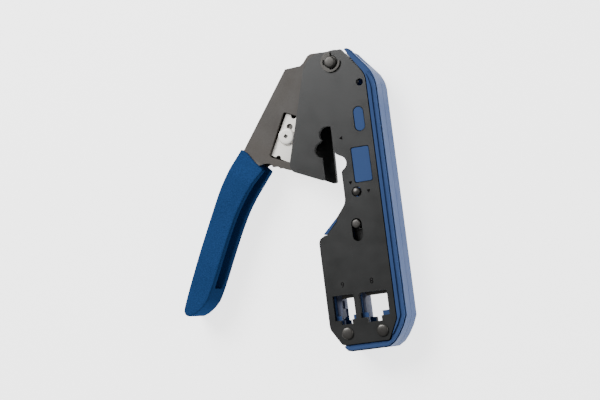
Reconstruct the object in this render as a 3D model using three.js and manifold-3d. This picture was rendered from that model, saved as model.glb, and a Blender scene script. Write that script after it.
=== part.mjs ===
// A compact crimping tool for modular network plugs, as a scene of separate solids in millimetres.
//
// The tool is first laid out around its main pivot: +X runs towards the moulded grip, +Y along
// the body towards the pivot end, and Z = 0 is the middle plane between the two steel side plates.
// At the end the whole tool is moved so that it lies on its back with its lowest face on Z = 0
// and the middle of its bounding box above the origin.

import * as THREE from "three";
import { mergeVertices } from "three/addons/utils/BufferGeometryUtils.js";
import Module from "manifold-3d";

// ---- driving dimensions, mm ----
const GAP = 0.3; // clearance between neighbouring pieces
const PLATE_OUT = 8.5; // outer face of a side plate, from the middle plane
const PLATE_IN = 6.0; // inner face of a side plate
const LAND = 9.6; // top of the grip's raised ridge, which the tool lies on
const LINER_OUT = PLATE_IN - GAP; // outer face of the liner webs
const LINER_IN = 3.8; // inner face of the liner webs
const RAM_Z = 3.4; // half thickness of the push bar and what it carries
const CLOSE_DEG = 28; // lever travel
const RAM_TRAVEL = 4.5; // push bar travel over the whole lever travel

const PIN_R = 2.95; // pivot pin
const CLIP_R = 4.65; // outer radius of the pivot's spring clip
const SHEET = 1.5; // lever sheet thickness
const LEVER_Z = LINER_OUT; // half width of the lever channel between the plates
const HANDLE_Z = 8.8; // half width of the vinyl handle
const VINYL = 1.0; // vinyl thickness
const SKIN = VINYL + GAP; // from the vinyl's outside to the steel

const RIGHT_X = 15.1; // right edge of the plates
const LEFT_X = -16.3; // left edge of the plates, lower part
const TOP_Y = 5.15; // top edge of the plates
const BASE_Y = -127.8; // bottom edge of the plates
const GRIP_X = 20.1; // outside of the grip
const GRIP_Y = -131; // bottom of the grip

const SPARE_HOLE = { x: 12.3, y: -11.2, r: 1.65 };
const OVAL = { x: 9.85, y: -27.6, w: 5.1, h: 11.4 };
const PANEL = { x: 8.35, y: -48.1, w: 8.7, h: 16.2, r: 0.9 };
const LOCK = { x: 4.4, y: -60.1, hole: 2.35, r: 1.85, travel: 2.0 };
const SLOT = { x: 2.4, top: -71.9, bottom: -82.3, w: 4.9 };
const RAM_PIN_Y = -74.4;
const RIVETS = [
  { name: "rivet_left", x: -8.2, y: -122.7 },
  { name: "rivet_right", x: 8.2, y: -123.3 },
];
const BAY_6 = { x0: -13.3, x1: -3.4, top: -105.4, floor: -116.6, n0: -10.9, n1: -5.3, deep: -118.6 };
const BAY_8 = { x0: -0.9, x1: 12.3, top: -105.4, floor: -116.6, n0: 1.8, n1: 8.5, deep: -118.9 };

const FOLLOWER = { x: 7.5, y: -14.0, r: 2.6 }; // cam follower on top of the push bar
const SPRING = { x: 8.5, top: -66.3, bottom: -81.0, r: 1.65, wire: 0.35, turns: 7 };
const POST = { x: 8.5, y: -83.0, r: 1.5 };
const CAM_PIN = { x: -9.5, y: -8.0, r: 1.25 };

// The blade lies on a line of its own: u runs down its back edge, w across to its cutting edge.
const BLADE = { x: -25.7, y: -18.9, ux: -0.478, uy: -0.878, len: 20.6, w: 10.8, hole: 3.8, z0: 2.9, z1: 3.7 };
const BLADE_SCREW = { u: 9.9, w: 4.15, r: 3.8 };

// ---- materials ----
const paint = (color, roughness, metalness) =>
  new THREE.MeshStandardMaterial({ color, roughness, metalness });
const blackSteel = paint(0x3b3a3a, 0.45, 0.6);
const leverSteel = paint(0x4f4a46, 0.55, 0.6);
const bluePlastic = paint(0x22498c, 0.5, 0);
const blueVinyl = paint(0x174379, 0.75, 0);
const brightSteel = paint(0xb9bbbc, 0.3, 0.9);
const bladeSteel = paint(0xe2e0dc, 0.25, 0.9);
const darkMetal = paint(0x66676a, 0.4, 0.85);

// ---- solids ----
const wasm = await Module();
wasm.setup();

function solid(geometry) {
  const bare = geometry.clone();
  bare.deleteAttribute("normal");
  bare.deleteAttribute("uv");
  const merged = mergeVertices(bare, 1e-4);
  return new wasm.Manifold(
    new wasm.Mesh({
      numProp: 3,
      vertProperties: new Float32Array(merged.attributes.position.array),
      triVerts: new Uint32Array(merged.index.array),
    }),
  );
}

function prism(shape, z0, z1, segments = 6) {
  const made = new THREE.ExtrudeGeometry(shape, {
    depth: z1 - z0,
    bevelEnabled: false,
    curveSegments: segments,
  });
  made.translate(0, 0, z0);
  return solid(made);
}

function disc(x, y, r, z0, z1, sides = 24) {
  const made = new THREE.CylinderGeometry(r, r, z1 - z0, sides);
  made.rotateX(Math.PI / 2);
  made.translate(x, y, (z0 + z1) / 2);
  return solid(made);
}

// A turned piece about a Z axis through (x, y); profile holds [radius, z] from the low end up.
function turned(x, y, profile, sides = 28) {
  const made = new THREE.LatheGeometry(
    profile.map(([r, z]) => new THREE.Vector2(r, z)),
    sides,
  );
  made.rotateX(Math.PI / 2);
  made.translate(x, y, 0);
  return solid(made);
}

function box(x0, x1, y0, y1, z0, z1) {
  const made = new THREE.BoxGeometry(x1 - x0, y1 - y0, z1 - z0);
  made.translate((x0 + x1) / 2, (y0 + y1) / 2, (z0 + z1) / 2);
  return solid(made);
}

const poly = (points) => new THREE.Shape(points.map(([x, y]) => new THREE.Vector2(x, y)));

function rounded(x, y, w, h, r) {
  const s = new THREE.Shape();
  s.absarc(x + w / 2 - r, y + h / 2 - r, r, 0, Math.PI / 2);
  s.absarc(x - w / 2 + r, y + h / 2 - r, r, Math.PI / 2, Math.PI);
  s.absarc(x - w / 2 + r, y - h / 2 + r, r, Math.PI, Math.PI * 1.5);
  s.absarc(x + w / 2 - r, y - h / 2 + r, r, Math.PI * 1.5, Math.PI * 2);
  return s;
}

// Moves an open line of points sideways, to its left when d is positive.
function shifted(points, d) {
  return points.map(([x, y], i) => {
    const before = points[Math.max(i - 1, 0)];
    const after = points[Math.min(i + 1, points.length - 1)];
    const here = [];
    for (const [a, b] of [[before, [x, y]], [[x, y], after]]) {
      const length = Math.hypot(b[0] - a[0], b[1] - a[1]);
      if (length > 0) here.push([-(b[1] - a[1]) / length, (b[0] - a[0]) / length]);
    }
    const nx = here.reduce((t, n) => t + n[0], 0) / here.length;
    const ny = here.reduce((t, n) => t + n[1], 0) / here.length;
    const k = Math.max(nx * nx + ny * ny, 0.35);
    return [x + (d * nx) / k, y + (d * ny) / k];
  });
}

// The same for a closed ring of points.
function ring(points, d) {
  const n = points.length;
  const wide = [points[n - 1], ...points, points[0]];
  return shifted(wide, d).slice(1, n + 1);
}

// A smooth line through points.
function smooth(points, count) {
  const curve = new THREE.SplineCurve(points.map(([x, y]) => new THREE.Vector2(x, y)));
  return curve.getPoints(count).map((p) => [p.x, p.y]);
}

function arc(x, y, r, from, to, count) {
  const out = [];
  for (let i = 0; i <= count; i++) {
    const a = THREE.MathUtils.degToRad(from + ((to - from) * i) / count);
    out.push([x + r * Math.cos(a), y + r * Math.sin(a)]);
  }
  return out;
}

const tool = new THREE.Group();

function add(name, made, material) {
  const { numProp, vertProperties, triVerts } = made.getMesh();
  const geometry = new THREE.BufferGeometry();
  const position = new Float32Array((vertProperties.length / numProp) * 3);
  for (let i = 0; i < position.length / 3; i++)
    for (let k = 0; k < 3; k++) position[i * 3 + k] = vertProperties[i * numProp + k];
  geometry.setAttribute("position", new THREE.BufferAttribute(position, 3));
  geometry.setIndex([...triVerts]);
  geometry.computeVertexNormals();
  const mesh = new THREE.Mesh(geometry, material.clone());
  mesh.name = name;
  tool.add(mesh);
}

const both = (make) => make(1).add(make(-1));
const layer = (shape, a, b, side, segments) =>
  prism(shape, side > 0 ? a : -b, side > 0 ? b : -a, segments);

// ---- side plates ----
// Both plates have a rounded nose at the pivot, a flap down the left with the cable cutting slot
// behind it, a round stripping notch, a narrow neck and a wide head with two windows. The flap's
// cutting edge has two round hollows in the front plate, and is straight in the rear one.
const frontEdge = [
  [-11.3, -52.6],
  ...arc(-11.1, -51.8, 0.8, 270, 360, 3),
  [-10.3, -43.0],
  ...arc(-9.6, -38.9, 3.4, 258, 112, 9),
  ...arc(-6.5, -32.1, 3.5, 222, 92, 8),
];
const rearEdge = [
  [-10.7, -53.3],
  ...arc(-9.7, -52.5, 0.8, 270, 360, 3),
  [-8.3, -28.8],
];
const plateLine = (side) => [
  [5.3, TOP_Y],
  ...arc(-4.0, -5.1, 10.25, 90, 170, 10),
  [-25.3, -42.0],
  ...arc(-22.1, -44.0, 3.4, 176, 246, 6),
  ...(side > 0 ? frontEdge : rearEdge),
  [-3.9, -28.8],
  [-3.9, -39.9],
  [-2.9, -41.9],
  ...arc(-2.1, -46.2, 3.4, 74, -66, 10),
  [-1.5, -50.3],
  [-1.5, -62.6],
  [-1.9, -64.4],
  [-2.9, -66.0],
  [-6.4, -70.3],
  [-6.55, -72.2],
  [-12.04, -77.6],
  [-13.3, -77.6],
  [-15.6, -78.9],
  [LEFT_X, -80.6],
  [LEFT_X, -118.8],
  [-15.9, -120.5],
  [-11.6, -127.3],
  [-10.8, BASE_Y],
  [10.4, BASE_Y],
  [11.0, -127.3],
  [RIGHT_X, -118.8],
  [RIGHT_X, -10.4],
  [14.8, -8.2],
  [13.7, -5.9],
];

const slotShape = (grow) =>
  rounded(SLOT.x, (SLOT.top + SLOT.bottom) / 2, SLOT.w + grow, SLOT.top - SLOT.bottom + grow, (SLOT.w + grow) / 2 - 0.01);
const ovalShape = (grow) => rounded(OVAL.x, OVAL.y, OVAL.w + grow, OVAL.h + grow, (OVAL.w + grow) / 2 - 0.01);
const panelShape = (grow) => rounded(PANEL.x, PANEL.y, PANEL.w + grow, PANEL.h + grow, PANEL.r);
const bayLine = (b, g, floor = b.floor) => [
  [b.x0 - g, b.top + g],
  [b.x0 - g, floor - g],
  [b.n0 - g, floor - g],
  [b.n0 - g, b.deep - g],
  [b.n1 + g, b.deep - g],
  [b.n1 + g, floor - g],
  [b.x1 + g, floor - g],
  [b.x1 + g, b.top + g],
];
// The left window has square corners; the right one is cut round at its upper left.
const bayRight = () => {
  const line = bayLine(BAY_8, 0).slice(1);
  return [...arc(BAY_8.x0 + 1.2, BAY_8.top - 1.2, 1.2, 90, 180, 4), ...line];
};

function plate(side) {
  const z0 = side > 0 ? PLATE_IN : -PLATE_OUT;
  const z1 = side > 0 ? PLATE_OUT : -PLATE_IN;
  const cut = (shape) => prism(shape, z0 - 1, z1 + 1);
  let made = prism(poly(plateLine(side)), z0, z1);
  made = made.subtract(disc(0, 0, PIN_R + GAP, z0 - 1, z1 + 1));
  made = made.subtract(disc(SPARE_HOLE.x, SPARE_HOLE.y, SPARE_HOLE.r, z0 - 1, z1 + 1, 24));
  made = made.subtract(disc(LOCK.x, LOCK.y, LOCK.hole, z0 - 1, z1 + 1, 28));
  for (const r of RIVETS) made = made.subtract(disc(r.x, r.y, 2.0, z0 - 1, z1 + 1, 24));
  made = made.subtract(cut(ovalShape(0)));
  made = made.subtract(cut(panelShape(0)));
  made = made.subtract(cut(slotShape(0)));
  made = made.subtract(cut(poly(bayLine(BAY_6, 0))));
  made = made.subtract(cut(poly(bayRight())));
  return made;
}
add("front_plate", plate(1), blackSteel);
add("rear_plate", plate(-1), blackSteel);

// ---- grip halves ----
// The rim runs from the tip beside the pivot, down the right side and across the bottom.
// The front half stands a little further out at the chamfer than the rear one.
const chamferFront = [
  [7.4, 5.2],
  [8.3, 5.15],
  [9.1, 4.75],
  [9.9, 4.0],
  [14.4, -1.7],
  [16.4, -4.2],
  [17.9, -6.4],
  [19.0, -8.8],
  [19.7, -11.2],
];
const chamferRear = [
  [7.0, 4.7],
  [7.9, 4.6],
  [8.7, 4.1],
  [10.7, 1.5],
  [13.6, -1.9],
  [16.5, -5.3],
  [18.1, -7.4],
  [19.3, -10.0],
  [19.8, -11.8],
];
const rimOuter = (side) => [
  ...(side > 0 ? chamferFront : chamferRear),
  [GRIP_X, -14.0],
  [GRIP_X, -118.0],
  [18.2, -122.4],
  [15.6, -126.5],
  [13.2, -129.2],
  [10.2, GRIP_Y],
  [-7.4, GRIP_Y],
  [-9.1, -130.5],
  [-10.5, -128.9],
];
const rimInner = [
  [6.9, 4.8],
  [8.95, 1.35],
  [14.1, -6.0],
  [15.2, -8.3],
  [RIGHT_X + 0.4, -10.4],
  [RIGHT_X + 0.4, -118.9],
  [11.3, -127.7],
  [10.6, -128.2],
  [-10.5, -128.2],
];
const rimArea = (side) => poly([...rimOuter(side), ...[...rimInner].reverse()]);
// A strip along the rim, from a to b in from its outside, without the rim's two ends. The wide
// strips start with a point at the shoulder.
const band = (side, a, b) => {
  const run = rimOuter(side).slice(1, -1);
  return poly([...shifted(run, -a), ...shifted(run, -b).reverse()]);
};
const pointed = (side, a, b) => {
  const run = rimOuter(side).slice(6, -1);
  const start = shifted(run, -(a + b) / 2)[0];
  return poly([start, ...shifted(run, -a).slice(2), ...shifted(run, -b).slice(2).reverse()]);
};
// Beside the pivot the two rims are thin lips: the space between them is a wedge that closes at
// the shoulder. It is seen along the chamfer's own line, from the tip.
const lipRoom = () => {
  const line = poly([
    [-4, -6.2],
    [8.5, -5.0],
    [13.2, 0],
    [8.5, 5.0],
    [-4, 6.2],
  ]);
  const made = new THREE.ExtrudeGeometry(line, { depth: 12, bevelEnabled: false });
  made.translate(0, 0, -6);
  const along = new THREE.Vector3(0.66, -0.751, 0).normalize();
  const up = new THREE.Vector3(0, 0, 1);
  const across = new THREE.Vector3().crossVectors(along, up);
  made.applyMatrix4(new THREE.Matrix4().makeBasis(along, up, across));
  made.translate(8.5, 4.2, 0);
  return solid(made);
};

// The liner web lies between a plate and the push bar.
const linerLine = [
  [12.9, -5.2],
  [7.6, -6.0],
  [5.6, -8.0],
  [1.9, -23.0],
  [1.9, -53.6],
  [-0.8, -56.0],
  [-0.8, -62.9],
  [-2.6, -66.6],
  [-6.9, -71.9],
  [-12.3, -77.3],
  [-15.2, -79.6],
  [-15.9, -81.0],
  [-15.9, -118.8],
  [-11.3, -126.4],
  [-10.7, -128.3],
  [11.0, -128.3],
  [RIGHT_X + 0.6, -119.1],
  [RIGHT_X + 0.6, -9.6],
];
const lip = [
  [-6.6, -70.3],
  [-6.9, -71.95],
  [-12.1, -77.25],
  [-13.2, -77.3],
  [-13.7, -76.9],
];
const wallLine = [
  [13.2, -6.6],
  [13.2, -125.6],
  [-11.0, -125.6],
  [-14.9, -119.2],
  [-14.9, -81.4],
];

function gripHalf(side) {
  const at = (shape, a, b, segments) => layer(shape, a, b, side, segments);
  const seam = GAP / 2;
  // side wall and rim, with a shallow groove inside the raised ridge
  let made = at(rimArea(side), seam, PLATE_OUT - 0.2);
  made = made.subtract(lipRoom());
  made = made.add(at(pointed(side, 0.55, 1.75), seam + 1, LAND));
  made = made.subtract(at(band(side, 0.25, 0.5), PLATE_OUT - 0.7, LAND + 1));
  made = made.subtract(at(pointed(side, 2.0, 3.0), PLATE_OUT - 0.9, LAND + 1));
  // liner web, and the inner wall that closes the body between the plates
  const wall = at(poly(linerLine), seam, LINER_OUT);
  const room = at(poly([...wallLine, [-14.9, -40], [-30, -40], [-30, 10], [13.2, 10]]), 0, LINER_IN);
  made = made.add(wall.subtract(room));
  for (const r of RIVETS) made = made.add(at(poly(arc(r.x, r.y, 3.2, 0, 330, 11)), seam, LINER_OUT - 0.1));
  // pads that fill the oval and the rectangular window
  made = made.add(at(ovalShape(-2 * GAP), LINER_IN, PLATE_OUT - 0.3));
  made = made.add(at(panelShape(-2 * GAP), LINER_IN, PLATE_OUT - 0.3));
  // lip that fills the notch in the shoulder
  made = made.add(at(poly(lip), seam, PLATE_OUT - 0.35));
  // ways through for the pins, the slot, the rivets and the plugs
  const hole = (x, y, r) => disc(x, y, r, -20, 20, 24);
  made = made.subtract(hole(SPARE_HOLE.x, SPARE_HOLE.y, SPARE_HOLE.r + 0.2));
  made = made.subtract(hole(LOCK.x, LOCK.y, LOCK.hole));
  for (const r of RIVETS) made = made.subtract(hole(r.x, r.y, 2.0));
  made = made.subtract(hole(POST.x, POST.y, POST.r + GAP));
  made = made.subtract(prism(slotShape(0.8), -20, 20));
  made = made.subtract(prism(poly(bayLine({ ...BAY_6, x0: -12.9, x1: -3.8 }, 0, -114.6)), -20, 20));
  made = made.subtract(prism(poly(bayLine({ ...BAY_8, x0: -0.5, x1: 11.9 }, 0, -114.4)), -20, 20));
  // seat of the plug nest
  const nest = NEST_SEAT;
  made = made.subtract(box(nest.x0, nest.x1, nest.y0, nest.y1, nest.z0, nest.z1));
  return made;
}
const NEST = { x0: -14.4, x1: 12.9, y0: -120.2, y1: -105.2, z0: -LINER_OUT, z1: RAM_Z };
const NEST_SEAT = {
  x0: NEST.x0 - GAP,
  x1: NEST.x1 + GAP,
  y0: NEST.y0 - GAP,
  y1: NEST.y1 + GAP,
  z0: NEST.z0 - 1,
  z1: NEST.z1 + GAP,
};
add("grip_front", gripHalf(1), bluePlastic);
add("grip_rear", gripHalf(-1), bluePlastic);

// ---- plug nest ----
let nest = box(NEST.x0, NEST.x1, NEST.y0, NEST.y1, NEST.z0, NEST.z1);
nest = nest.subtract(prism(poly(bayLine({ ...BAY_6, x0: -10.9, x1: -3.2, n0: -10.0, top: -100 }, 0)), -10, 10));
nest = nest.subtract(prism(poly(bayLine({ ...BAY_8, x0: 0.5, x1: 12.0, top: -100 }, 0)), -10, 10));
// two relief pockets in the left wall of the small bay
nest = nest.subtract(box(-12.9, -10.4, -111.2, -107.6, -1.4, 2.0));
nest = nest.subtract(box(-12.9, -10.4, -114.8, -111.3, -5.0, -2.0));
// step in its top that clears the trimming blade at the end of the stroke
nest = nest.subtract(box(NEST.x0 - 1, NEST.x1 + 1, -107.5, NEST.y1 + 1, 2.0, NEST.z1 + 1));
add("plug_nest", nest, darkMetal);

// ---- pivot pin, clip and rivets ----
const pin = turned(0, 0, [
  [0, -LAND],
  [4.2, -LAND],
  [4.6, -LAND + 0.35],
  [4.6, -PLATE_OUT - GAP],
  [PIN_R, -PLATE_OUT - GAP],
  [PIN_R, PLATE_OUT],
  [2.3, PLATE_OUT],
  [2.3, 9.8],
  [PIN_R, 9.8],
  [PIN_R, 10.0],
  [2.15, 10.5],
  [0, 10.5],
]);
add("pivot_pin", pin, brightSteel);

// Spring clip: a ring with a wide mouth up and to the right and two inner lugs.
const turn = (a) => THREE.MathUtils.degToRad(a);
const clipLine = [
  ...arc(0, 0, CLIP_R, 84, 362, 36),
  ...arc(0, 0, 3.55, 358, 264, 10),
  ...arc(0, 0, 2.75, 256, 200, 6),
  ...arc(0, 0, 3.45, 193, 160, 4),
  ...arc(0, 0, 2.75, 152, 84, 7),
];
add("pivot_clip", prism(poly(clipLine), PLATE_OUT + GAP, PLATE_OUT + GAP + 0.7), darkMetal);

for (const r of RIVETS) {
  const profile = [
    [0, -LAND + 0.1],
    [2.3, -LAND + 0.1],
    [2.7, -LAND + 0.4],
    [2.7, -PLATE_OUT - GAP],
    [1.7, -PLATE_OUT - GAP],
    [1.7, PLATE_OUT + GAP],
    [2.7, PLATE_OUT + GAP],
    [2.6, PLATE_OUT + 0.6],
    [1.9, PLATE_OUT + 1.0],
    [0.9, PLATE_OUT + 1.15],
    [0, PLATE_OUT + 1.2],
  ];
  add(r.name, turned(r.x, r.y, profile, 28), blackSteel);
}

// ---- lever and handle ----
// The lever is a channel folded from sheet: its back runs down the outside and both flanges point
// towards the body. It is narrow between the plates and flares out inside the handle.
const handleBack = smooth(
  [
    [-48.8, -32.3],
    [-54.5, -39.8],
    [-60.8, -49.3],
    [-67.5, -62.3],
    [-74.3, -76.1],
    [-81.3, -91.3],
    [-85.2, -100.4],
  ],
  26,
);
const handleTip = smooth([[-85.2, -100.4], [-85.9, -103.0], [-84.9, -105.0], [-82.8, -105.6]], 7).slice(1);
const handleFront = smooth(
  [
    [-80.2, -104.7],
    [-77.2, -102.8],
    [-74.4, -100.3],
    [-72.5, -97.6],
    [-68.7, -90.4],
    [-62.4, -77.3],
    [-57.8, -68.2],
    [-52.6, -59.2],
    [-46.2, -50.8],
    [-39.1, -43.3],
  ],
  30,
);
const handleTop = smooth([[-39.1, -43.3], [-42.6, -39.2], [-46.0, -34.2], [-48.8, -32.3]], 6).slice(1, -1);
const handleLine = [...handleBack, ...handleTip, ...handleFront, ...handleTop];
const handleArea = (d) => poly(ring(handleLine, d));

const armLine = [
  [-23.0, 1.0],
  [-48.0, -33.1],
  [-51.3, -38.2],
  [-50.0, -48.0],
  [-44.8, -46.8],
  [-41.9, -41.4],
  ...smooth([[-41.9, -41.4], [-39.8, -40.5], [-37.3, -40.5], [-35.2, -41.4]], 5).slice(1),
  [-34.8, -42.7],
  [-32.7, -42.8],
  [-27.6, -45.1],
  [-24.7, -46.0],
  [-24.7, -43.2],
  [-26.8, -41.2],
  [-18.3, -25.0],
  [-10.0, -19.5],
  ...arc(0, 0, 5.0, -45, 98, 12),
  [-5.2, 5.8],
  [-10.1, 5.9],
  [-11.6, 5.2],
  [-12.8, 3.8],
  [-14.0, 2.4],
  [-15.6, 1.3],
];

// Half width of the channel along its length, as a solid that trims it.
const LEAN = THREE.MathUtils.degToRad(-126.5); // direction of the lever from the pivot
function envelope(inset, extra = 0) {
  const near = LEVER_Z - inset;
  const far = HANDLE_Z - SKIN - inset + extra;
  const line = [
    [-20, -near],
    [56.5, -near],
    [66, -far],
    [150, -far],
    [150, far],
    [66, far],
    [56.5, near],
    [-20, near],
  ];
  const made = new THREE.ExtrudeGeometry(poly(line), { depth: 200, bevelEnabled: false });
  made.translate(0, 0, -100);
  made.rotateX(Math.PI / 2);
  made.rotateZ(LEAN);
  return solid(made);
}

// Area inside the channel: it runs along the steel's back, d deep, and stops at the end wall,
// and it is open towards the body.
const steelBack = [[-23.0, 1.0], [-48.0, -33.1], ...shifted(handleBack, SKIN).slice(3, -2)];
const END_WALL = { x: -80.2, y: -104.7, dx: 0.846, dy: 0.534 };
function hollow(d) {
  const inner = shifted(steelBack, d);
  const [ax, ay] = inner[0];
  const [bx, by] = inner[inner.length - 2];
  const [cx, cy] = inner[inner.length - 1];
  const ex = END_WALL.x - END_WALL.dy * (SKIN + d);
  const ey = END_WALL.y + END_WALL.dx * (SKIN + d);
  // corner where the back meets the end wall
  const det = (cx - bx) * END_WALL.dy - (cy - by) * END_WALL.dx;
  const t = ((ex - bx) * END_WALL.dy - (ey - by) * END_WALL.dx) / det;
  const corner = [bx + (cx - bx) * t, by + (cy - by) * t];
  const out = [corner[0] + 60 * END_WALL.dx, corner[1] + 60 * END_WALL.dy];
  return poly([[ax + 11.8, ay + 16], ...inner.slice(0, -1), corner, out, [30, -40], [30, 30]]);
}

const steelOuter = prism(poly(armLine), -10, 10).add(prism(handleArea(SKIN), -10, 10));
let lever = steelOuter.intersect(envelope(0));
lever = lever.subtract(prism(hollow(SHEET), -10, 10).intersect(envelope(SHEET)));
lever = lever.subtract(disc(0, 0, PIN_R + GAP, -10, 10));
lever = lever.subtract(disc(CAM_PIN.x, CAM_PIN.y, CAM_PIN.r + GAP, -10, 10, 20));
// window in the front flange for the blade, open towards the cutting edge
const bladeWindow = [
  ...arc(-25.9, -19.5, 0.9, 62, 150, 3),
  ...arc(-34.3, -37.0, 1.3, 158, 250, 4),
  [-26.8, -41.8],
  [-20.0, -40.0],
  [-12.0, -24.0],
  [-19.9, -21.4],
];
lever = lever.subtract(prism(poly(bladeWindow), LEVER_Z - SHEET - 0.3, 10));
add("lever", lever, leverSteel);

let sleeve = prism(handleArea(0), -10, 10);
sleeve = sleeve.intersect(envelope(-SKIN + 0.2, 0.2));
const mouth = [[-40.25, -22.0], [-48.3, -32.95], [-51.6, -38.0], [-50.0, -48.0], [-44.5, -47.0], [-41.5, -41.8], [-38.5, -41.4], [-38, -37]];
let room = prism(poly(mouth), -10, 10).add(prism(handleArea(VINYL), -10, 10));
room = room.intersect(envelope(-GAP));
room = room.subtract(prism(hollow(SHEET + GAP), -10, 10).intersect(envelope(SHEET + GAP)));
sleeve = sleeve.subtract(room);
sleeve = sleeve.subtract(prism(hollow(SHEET + SKIN), -10, 10).intersect(envelope(SHEET + SKIN)));
add("handle_sleeve", sleeve, blueVinyl);

// ---- cam, turning with the lever ----
// The follower moves straight down in step with the lever, so in the lever's own frame its path
// is a spiral; the cam's working face is that path moved in by the follower's radius.
const camPath = [];
for (let i = -3; i <= 31; i++) {
  const a = THREE.MathUtils.degToRad(i * (CLOSE_DEG / 28));
  const y = FOLLOWER.y - (RAM_TRAVEL * i) / 28;
  camPath.push([
    FOLLOWER.x * Math.cos(a) + y * Math.sin(a),
    -FOLLOWER.x * Math.sin(a) + y * Math.cos(a),
  ]);
}
const camFace = shifted(camPath, FOLLOWER.r + GAP).map(([x, y]) =>
  Math.hypot(x, y) < Math.hypot(FOLLOWER.x, FOLLOWER.y) ? [x, y] : [x, y],
);
const camInner = shifted(camPath, -(FOLLOWER.r + GAP));
const nearer = Math.hypot(...camFace[10]) < Math.hypot(...camInner[10]) ? camFace : camInner;
let cam = disc(0, 0, 6.4, -RAM_Z, RAM_Z, 40);
cam = cam.add(prism(poly([[0, 0], ...nearer]), -RAM_Z, RAM_Z));
cam = cam.add(
  prism(poly([[-4.5, 4.2], [-12.0, -6.3], [-11.0, -10.4], [-7.0, -10.9], [4.5, -4.2]]), -RAM_Z, RAM_Z),
);
cam = cam.subtract(disc(0, 0, PIN_R + GAP, -10, 10));
cam = cam.subtract(disc(CAM_PIN.x, CAM_PIN.y, CAM_PIN.r + GAP, -10, 10, 20));
add("cam", cam, darkMetal);
add("cam_pin", disc(CAM_PIN.x, CAM_PIN.y, CAM_PIN.r, -LEVER_Z + 0.1, LEVER_Z - 0.1, 20), brightSteel);

// ---- blade, its holder and its screw, on the lever ----
const onBlade = (u, w) => [
  BLADE.x + u * BLADE.ux - w * BLADE.uy,
  BLADE.y + u * BLADE.uy + w * BLADE.ux,
];
const bladeBox = (u0, u1, w0, w1) =>
  poly([onBlade(u0, w0), onBlade(u1, w0), onBlade(u1, w1), onBlade(u0, w1)]);
const screwAt = onBlade(BLADE_SCREW.u, BLADE_SCREW.w);
let holder = prism(bladeBox(0.9, 19.6, 0.5, 8.2), -3.9, BLADE.z0 - GAP);
holder = holder.subtract(disc(...screwAt, 1.9, -1, 5, 20));
add("blade_holder", holder, darkMetal);

let blade = prism(bladeBox(0, BLADE.len, 0, BLADE.w), BLADE.z0, BLADE.z1);
for (const u of [0, BLADE.len]) blade = blade.subtract(disc(...onBlade(u, BLADE.hole), 1.3, 0, 6, 20));
blade = blade.subtract(disc(...onBlade(5.3, BLADE.hole), 1.5, 0, 6, 20));
blade = blade.subtract(disc(...screwAt, 1.9, 0, 6, 20));
// ground cutting edge
const bevel = [
  [BLADE.w - 2.0, BLADE.z1 + 0.02],
  [BLADE.w + 0.5, BLADE.z0 + 0.1],
  [BLADE.w + 0.5, BLADE.z1 + 1],
  [BLADE.w - 2.0, BLADE.z1 + 1],
];
const bevelGeometry = new THREE.ExtrudeGeometry(poly(bevel), { depth: 30, bevelEnabled: false });
const bladeFrame = new THREE.Matrix4().makeBasis(
  new THREE.Vector3(-BLADE.uy, BLADE.ux, 0),
  new THREE.Vector3(0, 0, 1),
  new THREE.Vector3(BLADE.ux, BLADE.uy, 0),
);
bevelGeometry.applyMatrix4(bladeFrame);
bevelGeometry.translate(BLADE.x - 5 * BLADE.ux, BLADE.y - 5 * BLADE.uy, 0);
let grind = solid(bevelGeometry);
blade = blade.subtract(grind);
add("cutter_blade", blade, bladeSteel);

let screw = turned(...screwAt, [
  [0, -0.7],
  [1.6, -0.7],
  [1.6, BLADE.z1 + 0.25],
  [BLADE_SCREW.r - 0.45, BLADE.z1 + 0.25],
  [BLADE_SCREW.r, BLADE.z1 + 0.6],
  [BLADE_SCREW.r, BLADE.z1 + 1.1],
  [BLADE_SCREW.r - 0.5, BLADE.z1 + 1.6],
  [0, BLADE.z1 + 1.75],
]);
screw = screw.subtract(prism(rounded(...screwAt, 2.2, 2.2, 0.2), BLADE.z1 + 0.7, 10));
add("blade_screw", screw, bladeSteel);

// ---- push bar with its cam follower, guide pin and crimping dies ----
const ramLine = [
  [3.0, -14.6],
  [3.0, -63.4],
  [-1.6, -68.4],
  [-1.6, -85.0],
  [-14.4, -90.0],
  [-14.4, -100.2],
  [12.8, -100.2],
  [12.8, -66.0],
  [12.2, -64.0],
  [12.2, -14.6],
];
let ram = prism(poly(ramLine), -RAM_Z, RAM_Z);
ram = ram.subtract(disc(FOLLOWER.x, FOLLOWER.y, FOLLOWER.r + GAP, -10, 10, 28));
ram = ram.subtract(disc(SLOT.x, RAM_PIN_Y, 1.9 + GAP, -10, 10, 24));
// clearance for the lock pin, and the pocket of the return spring
ram = ram.subtract(prism(rounded(3.2, LOCK.y + RAM_TRAVEL / 2, 7.4, 5.2 + RAM_TRAVEL, 2.4), -10, 10));
ram = ram.subtract(prism(rounded(SPRING.x, -75.7, 4.8, 19.4, 0.8), -10, 10));
// recess for the trimming blade, and its two screws
ram = ram.subtract(box(-15, 13.5, -100.5, -95.4, 2.0, 5));
const TRIM_SCREWS = [-9.0, 7.0];
for (const x of TRIM_SCREWS) ram = ram.subtract(disc(x, -97.7, 1.1 + GAP, 0, 5, 18));
add("push_bar", ram, darkMetal);
add("cam_follower", disc(FOLLOWER.x, FOLLOWER.y, FOLLOWER.r, -RAM_Z, RAM_Z, 28), brightSteel);

const guide = turned(
  SLOT.x,
  RAM_PIN_Y,
  [
    [0, -9.3],
    [1.7, -9.3],
    [1.9, -9.1],
    [1.9, 9.0],
    [1.5, 9.3],
    [0, 9.5],
  ],
  24,
);
add("guide_pin", guide, brightSteel);

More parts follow.
